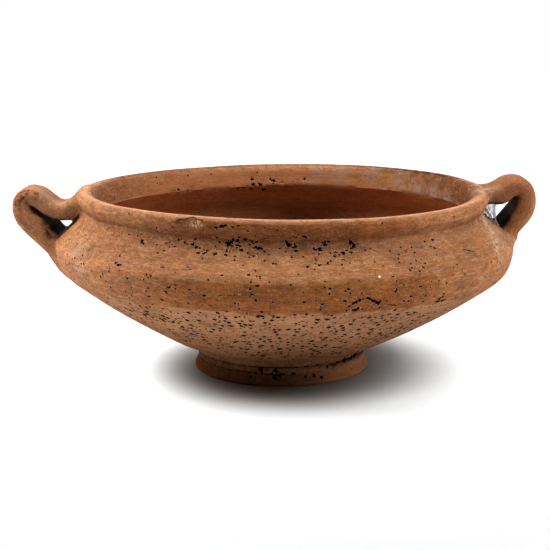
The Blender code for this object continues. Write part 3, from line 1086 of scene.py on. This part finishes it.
# Painted shade in the slots and the crease at the left root.
colour = over(colour, SOOT_AND_SHADE_BLACK, kept("slot_and_crease_shade"), between(noise(place, 2.0, 4.0, 0.7), 0.2, 0.5, 0.8, 1.0), 1.0)
black = strongest(coarse_grit, fine_grit, times(dust_grit, 0.7), between(ragged, 0.4, 0.55))
colour = mix(times(black, 0.98), colour, BLACK_GRIT)

# Single grains as (place, radius, colour): a white one, a red one, and a pale one by the slot.
for grain_at, radius, tint in (
    (on_wall(21, 77), 0.75, WHITE_GRAIN),
    (on_wall(104, 99), 1.6, RED_GRAIN),
    (np.array([-136.6, -16.0, 93.6]), 0.6, PALE_GRAIN),
):
    away = add_node(tree, "ShaderNodeVectorMath", {"operation": "DISTANCE"}, {0: place, 1: grain_at * MM})
    in_grain = between(away.outputs["Value"], 0.6 * radius * MM, radius * MM, 1.0, 0.0)
    colour = mix(in_grain, colour, tint)
tree.links.new(colour, shader.inputs["Base Color"])
tree.links.new(between(noise(place, 6.0), 0.3, 0.7, 0.76, 0.92), shader.inputs["Roughness"])
shader.inputs["Specular IOR Level"].default_value = CLAY_SHEEN

relief = times(noise(mottles, 0.8, 3.0, 0.7), GRAIN_RELIEF * MM)
for swell in (times(noise(place, 2.6, 3.0, 0.6), LUMP_RELIEF * MM), times(streaks, STREAK_RELIEF * MM),
              times(strongest(coarse_grit, fine_grit), -GRIT_DROP * MM)):
    relief = math_node(tree, "ADD", relief, swell)
bumps = add_node(tree, "ShaderNodeBump", {}, {"Height": relief, "Distance": 1.0, "Strength": RELIEF_STRENGTH})
tree.links.new(bumps.outputs[0], shader.inputs["Normal"])

# --- The cobweb under the right handle --------------------------------------------------------------
# Dusty threads hang between the strap's underside and the wall in the corner of the loop. They are
# loose dirt that comes with the bowl, so they ride on it and replace nothing of the solid.

THREADS, THREAD_RADIUS = 40, 0.13
THREAD_STEPS, THREAD_SIDES = 7, 5
# The threads start under the strap, most of them close to the wall, and end on the wall beside it.
WEB_START, WEB_LENGTH, WEB_CROWDING = 118.6, 10, 1.8
WEB_SIDES, WEB_TOP = (-13, -3), 97.0
WEB_TURNS, WEB_LEVELS = (83, 88), (82, 95)
THREAD_SAGS = (-0.8, 2.2)
DUSTY_SILK = linear("#c2bfba")
rng = np.random.default_rng(SEED + 1)
web = bmesh.new()
for _ in range(THREADS):
    from_wall = WEB_LENGTH * rng.uniform() ** WEB_CROWDING
    start = np.array([WEB_START + from_wall, rng.uniform(*WEB_SIDES), WEB_TOP])
    end = on_wall(rng.uniform(*WEB_TURNS), rng.uniform(*WEB_LEVELS))
    sag = rng.uniform(*THREAD_SAGS)
    rings = []
    for share in np.linspace(0, 1, THREAD_STEPS):
        middle = start + share * (end - start) - np.array([0, 0, 4 * sag * share * (1 - share)])
        ring = []
        for side in range(THREAD_SIDES):
            angle = math.tau * side / THREAD_SIDES
            off = THREAD_RADIUS * np.array([math.cos(angle), math.sin(angle), 0.4 * math.cos(angle)])
            ring.append(web.verts.new((middle + off) * MM))
        rings.append(ring)
    for ring, following in zip(rings, rings[1:]):
        for i, corner in enumerate(ring):
            web.faces.new((ring[i - 1], corner, following[i], following[i - 1]))
    for cap in (rings[0], rings[-1][::-1]):
        web.faces.new(cap)
bmesh.ops.recalc_face_normals(web, faces=web.faces)
web_mesh = bpy.data.meshes.new("cobweb")
web.to_mesh(web_mesh)
web.free()
dusty_silk = bpy.data.materials.new("dusty_silk")
dusty_silk.use_nodes = True
silk = dusty_silk.node_tree.nodes["Principled BSDF"]
silk.inputs["Base Color"].default_value = DUSTY_SILK
silk.inputs["Roughness"].default_value = 0.7
web_mesh.materials.append(dusty_silk)
web_mesh.shade_smooth()
cobweb = new_object("cobweb", web_mesh)
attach(cobweb, "root")

# --- The studio ---------------------------------------------------------------------------------------
# A pale paper floor with a long soft box hung at each side, the left one the stronger, a weak one
# overhead, and lit cards behind and low at the right, which leave the front in soft shade. Near the bowl
# the camera sees a painted shadow over the paper's real one, and farther out the paper glows by itself,
# until it is as white as the air.

FLOOR_RADIUS_M = 3.0
FLOOR_EDGES = 96
BOWL_MIDDLE_M = (0.012, 0.0, 0.0)
BOUNCED_WHITE = (0.86, 0.88, 0.89, 1)
WHITE = (1, 1, 1, 1)
BLUE_SHARE = 1.04
paper = bpy.data.meshes.new("paper_floor")
corners = [math.tau * i / FLOOR_EDGES for i in range(FLOOR_EDGES)]
paper.from_pydata([(FLOOR_RADIUS_M * math.cos(a), FLOOR_RADIUS_M * math.sin(a), 0.0) for a in corners], [],
                  [range(FLOOR_EDGES)])
floor = new_object("paper_floor", paper)
matt_paper = bpy.data.materials.new("matt_white_paper")
matt_paper.use_nodes = True
floor_tree = matt_paper.node_tree
sheet = floor_tree.nodes["Principled BSDF"]
sheet.inputs["Roughness"].default_value = 1.0
sheet.inputs["Specular IOR Level"].default_value = 0.0
spot = add_node(floor_tree, "ShaderNodeTexCoord", {}, {}).outputs["Object"]
far = add_node(floor_tree, "ShaderNodeVectorMath", {"operation": "DISTANCE"},
               {0: spot, 1: BOWL_MIDDLE_M}).outputs["Value"]
looked_at = add_node(floor_tree, "ShaderNodeLightPath", {}, {}).outputs["Is Camera Ray"]


def with_distance(start, end, first, last):
    """A value that changes with the distance in metres from the middle of the bowl."""
    return add_node(floor_tree, "ShaderNodeMapRange", {"interpolation_type": "SMOOTHSTEP"}, {
        "Value": far, "From Min": start, "From Max": end, "To Min": first, "To Max": last}).outputs[0]


def of_floor(operation, *values):
    return math_node(floor_tree, operation, *values)


# The camera sees the paper with a painted shadow: dim under the bowl, palest beside it and greyer
# farther out, where its glow takes over. The bowl gets an even white back from it.
seen_paper_grey = of_floor("SUBTRACT", with_distance(0.1, 0.28, 0.76, 0.34), with_distance(0.3, 1.1, 0.0, 0.24))
seen_paper_grey = of_floor("MULTIPLY", seen_paper_grey, with_distance(0.05, 0.1, 0.55, 1.0))
shares = (with_distance(0.12, 0.3, 0.92, 1.0), 1.0, BLUE_SHARE)
channels = [of_floor("MULTIPLY", seen_paper_grey, share) for share in shares]
seen_grey = add_node(floor_tree, "ShaderNodeCombineColor", {}, dict(enumerate(channels))).outputs[0]
paper_colour = add_node(floor_tree, "ShaderNodeMix", {"data_type": "RGBA"},
                        {0: looked_at, 6: BOUNCED_WHITE, 7: seen_grey})
floor_tree.links.new(paper_colour.outputs[2], sheet.inputs["Base Color"])
seen_glow = of_floor("ADD", with_distance(0.06, 0.112, 0.0, 0.3), with_distance(0.25, 0.9, 0.0, 0.55))
seen_glow = of_floor("ADD", seen_glow, with_distance(0.8, 1.3, 0.0, 0.35))
given_glow = with_distance(0.2, 1.1, 0.0, 1.0)
glow = add_node(floor_tree, "ShaderNodeMix", {}, {0: looked_at, 2: given_glow, 3: seen_glow})
sheet.inputs["Emission Color"].default_value = WHITE
floor_tree.links.new(glow.outputs[0], sheet.inputs["Emission Strength"])
paper.materials.append(matt_paper)

# Lamps as (name, place in metres, turn about X and Y in degrees, width, depth, watts).
LAMPS = (
    ("left_soft_box", (-1.2, 0.2, 1.0), (0, 0), 0.6, 1.6, 64.0),
    ("right_soft_box", (1.2, -0.4, 1.0), (0, 0), 0.6, 1.2, 37.0),
    ("overhead_soft_box", (0.0, 0.0, 1.0), (0, 0), 1.8, 0.4, 8.5),
    ("back_card", (0.0, 1.2, 0.35), (-90, 0), 1.2, 0.6, 8.0),
    ("right_card", (1.2, -0.5, 0.2), (0, 90), 0.4, 0.8, 2.6),
)
for name, where, (about_x, about_y), width, depth, watts in LAMPS:
    lamp = bpy.data.lights.new(name, "AREA")
    lamp.shape = "RECTANGLE"
    lamp.size, lamp.size_y, lamp.energy = width, depth, watts
    soft_box = new_object(name, lamp)
    soft_box.location = where
    soft_box.rotation_euler = (math.radians(about_x), math.radians(about_y), 0)

world = bpy.data.worlds.new("studio_air")
bpy.context.scene.world = world
world.use_nodes = True
air = world.node_tree
seen = add_node(air, "ShaderNodeLightPath", {}, {}).outputs["Is Camera Ray"]
air.links.new(seen, air.nodes["Background"].inputs["Strength"])
air.nodes["Background"].inputs["Color"].default_value = WHITE

# The camera stands before the bowl, a little above its rim, and looks down by this angle in radians.
LENS_MM = 90.9
CAMERA_PLACE_M = (0.00074, -0.7915, 0.2142)
LOOKING_DOWN = 0.201
PICTURE_GAMMA = 0.72
eye = bpy.data.cameras.new("camera")
eye.lens = LENS_MM
camera = new_object("camera", eye)
camera.location = CAMERA_PLACE_M
camera.rotation_euler = (math.pi / 2 - LOOKING_DOWN, 0.0, 0.0)
bpy.context.scene.camera = camera
bpy.context.scene.view_settings.view_transform = "Standard"
bpy.context.scene.view_settings.gamma = PICTURE_GAMMA
